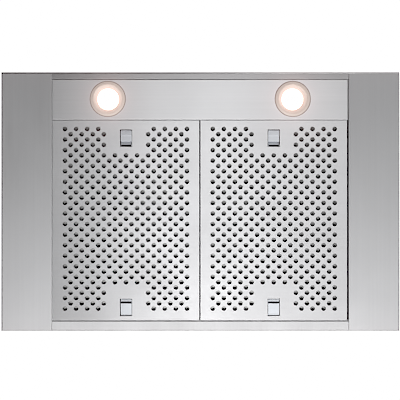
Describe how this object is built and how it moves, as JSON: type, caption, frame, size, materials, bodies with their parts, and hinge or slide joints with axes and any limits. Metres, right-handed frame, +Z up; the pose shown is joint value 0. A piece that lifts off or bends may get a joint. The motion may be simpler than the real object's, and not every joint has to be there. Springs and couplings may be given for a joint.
{
  "type": "chimney range hood",
  "caption": "Wall chimney range hood with a sloped canopy, perforated grease filters, front lamps, push buttons, a telescopic chimney cover and an enclosed blower.",
  "frame": {"origin": "centre of the four wall holes in the canopy's back panel, on the wall plane", "axes": "+X right as seen from the front, -Y to the front, +Y into the wall, +Z up"},
  "size_m": [0.762, 0.498, 0.8116],
  "materials": {
    "canopy_steel": "brushed along the width",
    "cover_steel": "brushed along the height",
    "underside_steel": "fine brushed",
    "light_panel_steel": "fine brushed",
    "front_rail_steel": "fine brushed, duller",
    "filter_steel": "satin, punched",
    "filter_inner_steel": "mill finish",
    "latch_steel": "satin",
    "spring_steel": "bright wire",
    "screw_steel": "plated",
    "zinc_sheet": "zinc coated, spangled",
    "trim_chrome": "satin chrome",
    "bulb_body": "cast, matt",
    "holder_ceramic": "unglazed",
    "wheel_plastic": "moulded",
    "motor_paint": "black enamel",
    "collar_plastic": "moulded",
    "flap_aluminium": "mill finish",
    "box_plastic": "moulded, fine texture",
    "gland_plastic": "moulded",
    "capacitor_plastic": "moulded",
    "board_laminate": "solder mask",
    "button_metal": "turned",
    "lamp_glass": "frosted, lit"
  },
  "bodies": {
    "root": {"canopy_front": "canopy_steel", "canopy_left": "canopy_steel", "canopy_right": "canopy_steel", "canopy_back": "underside_steel", "canopy_top_frame": "zinc_sheet", "bottom_left_panel": "underside_steel", "bottom_right_panel": "underside_steel", "bottom_front_rail": "front_rail_steel", "bottom_rear_rail": "underside_steel", "light_panel": "light_panel_steel", "lamp_holders": "holder_ceramic", "lamp_clips": "spring_steel", "chimney_lower_cover": "cover_steel", "sheet_screws": "screw_steel", "blower_box": "zinc_sheet", "blower_wrapper": "zinc_sheet", "blower_side_left": "zinc_sheet", "blower_side_right": "zinc_sheet", "motor_body": "motor_paint", "motor_bracket": "zinc_sheet", "blower_feet": "zinc_sheet", "outlet_collar": "collar_plastic", "damper_pin": "screw_steel", "terminal_box": "box_plastic", "cable_gland": "gland_plastic", "capacitor": "capacitor_plastic", "control_housing": "box_plastic", "control_board": "board_laminate", "lamp_trim_left": "trim_chrome", "lamp_lens_left": "lamp_glass", "lamp_bulb_left": "bulb_body", "lamp_trim_right": "trim_chrome", "lamp_lens_right": "lamp_glass", "lamp_bulb_right": "bulb_body"},
    "upper_cover": {"chimney_upper_cover": "cover_steel", "chimney_upper_bracket": "zinc_sheet", "upper_cover_screws": "screw_steel"},
    "impeller": {"impeller": "wheel_plastic", "motor_shaft": "screw_steel"},
    "damper_front": {"damper_flap_front": "flap_aluminium"},
    "damper_rear": {"damper_flap_rear": "flap_aluminium"},
    "filter_left": {"filter_face_left": "filter_steel", "filter_back_left": "filter_inner_steel", "latch_guides_left": "box_plastic", "latch_spring_front_left": "spring_steel", "latch_spring_rear_left": "spring_steel"},
    "latch_front_left": {"latch_slider_front_left": "latch_steel"},
    "latch_rear_left": {"latch_slider_rear_left": "latch_steel"},
    "filter_right": {"filter_face_right": "filter_steel", "filter_back_right": "filter_inner_steel", "latch_guides_right": "box_plastic", "latch_spring_front_right": "spring_steel", "latch_spring_rear_right": "spring_steel"},
    "latch_front_right": {"latch_slider_front_right": "latch_steel"},
    "latch_rear_right": {"latch_slider_rear_right": "latch_steel"},
    "button_off": {"button_off": "button_metal"},
    "button_speed_low": {"button_speed_low": "button_metal"},
    "button_speed_mid": {"button_speed_mid": "button_metal"},
    "button_speed_high": {"button_speed_high": "button_metal"},
    "button_light": {"button_light": "button_metal"}
  },
  "joints": [
    {"name": "upper_cover_slide", "type": "slide", "parent": "root", "child": "upper_cover", "axis": [0, 0, 1], "range_m": [0, 0.34]},
    {"name": "impeller_spin", "type": "hinge", "parent": "root", "child": "impeller", "pos_m": [0, -0.135, 0.2265], "axis": [1, 0, 0], "continuous": true},
    {"name": "damper_front_hinge", "type": "hinge", "parent": "root", "child": "damper_front", "pos_m": [0, -0.08, 0.3529], "axis": [-1, 0, 0], "range_deg": [0, 75]},
    {"name": "damper_rear_hinge", "type": "hinge", "parent": "root", "child": "damper_rear", "pos_m": [0, -0.08, 0.3529], "axis": [1, 0, 0], "range_deg": [0, 75]},
    {"name": "filter_left_drop", "type": "slide", "parent": "root", "child": "filter_left", "axis": [0, 0, -1], "range_m": [0, 0.16]},
    {"name": "latch_front_left_slide", "type": "slide", "parent": "filter_left", "child": "latch_front_left", "axis": [0, 1, 0], "range_m": [0, 0.005], "stiffness_N_per_m": 300, "springref_m": -0.004, "deforming": ["latch_spring_front_left"]},
    {"name": "latch_rear_left_slide", "type": "slide", "parent": "filter_left", "child": "latch_rear_left", "axis": [0, -1, 0], "range_m": [0, 0.005], "stiffness_N_per_m": 300, "springref_m": -0.004, "deforming": ["latch_spring_rear_left"]},
    {"name": "filter_right_drop", "type": "slide", "parent": "root", "child": "filter_right", "axis": [0, 0, -1], "range_m": [0, 0.16]},
    {"name": "latch_front_right_slide", "type": "slide", "parent": "filter_right", "child": "latch_front_right", "axis": [0, 1, 0], "range_m": [0, 0.005], "stiffness_N_per_m": 300, "springref_m": -0.004, "deforming": ["latch_spring_front_right"]},
    {"name": "latch_rear_right_slide", "type": "slide", "parent": "filter_right", "child": "latch_rear_right", "axis": [0, -1, 0], "range_m": [0, 0.005], "stiffness_N_per_m": 300, "springref_m": -0.004, "deforming": ["latch_spring_rear_right"]},
    {"name": "button_off_press", "type": "slide", "parent": "root", "child": "button_off", "axis": [0, 1, 0], "range_m": [0, 0.0025], "stiffness_N_per_m": 400, "springref_m": -0.001},
    {"name": "button_speed_low_press", "type": "slide", "parent": "root", "child": "button_speed_low", "axis": [0, 1, 0], "range_m": [0, 0.0025], "stiffness_N_per_m": 400, "springref_m": -0.001},
    {"name": "button_speed_mid_press", "type": "slide", "parent": "root", "child": "button_speed_mid", "axis": [0, 1, 0], "range_m": [0, 0.0025], "stiffness_N_per_m": 400, "springref_m": -0.001},
    {"name": "button_speed_high_press", "type": "slide", "parent": "root", "child": "button_speed_high", "axis": [0, 1, 0], "range_m": [0, 0.0025], "stiffness_N_per_m": 400, "springref_m": -0.001},
    {"name": "button_light_press", "type": "slide", "parent": "root", "child": "button_light", "axis": [0, 1, 0], "range_m": [0, 0.0025], "stiffness_N_per_m": 400, "springref_m": -0.001}
  ]
}
